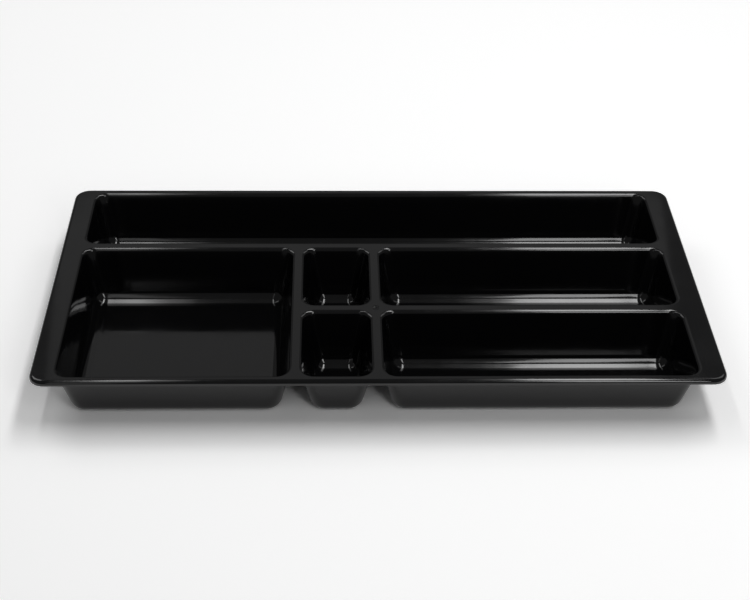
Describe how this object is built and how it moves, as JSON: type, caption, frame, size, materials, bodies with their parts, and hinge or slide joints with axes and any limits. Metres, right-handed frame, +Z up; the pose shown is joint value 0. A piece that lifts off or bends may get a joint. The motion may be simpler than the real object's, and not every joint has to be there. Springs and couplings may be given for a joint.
{
  "type": "thermoformed plastic drawer tray",
  "caption": "Shallow black plastic drawer tray formed from one sheet, with a broad deep pocket, small cups and long troughs inside a turned-down rim.",
  "frame": {"origin": "under the middle of the tray, level with the undersides of the pocket floors", "axes": "+X along the length towards the long troughs, +Y from the front edge with the small cups to the back edge with the full-width trough, +Z up out of the pockets"},
  "size_m": [0.565, 0.2934, 0.0489],
  "materials": {
    "tray": "black polystyrene sheet, vacuum formed, glossy with a faint drawn-sheet softness"
  },
  "bodies": {
    "root": {"tray": "tray"}
  },
  "joints": []
}
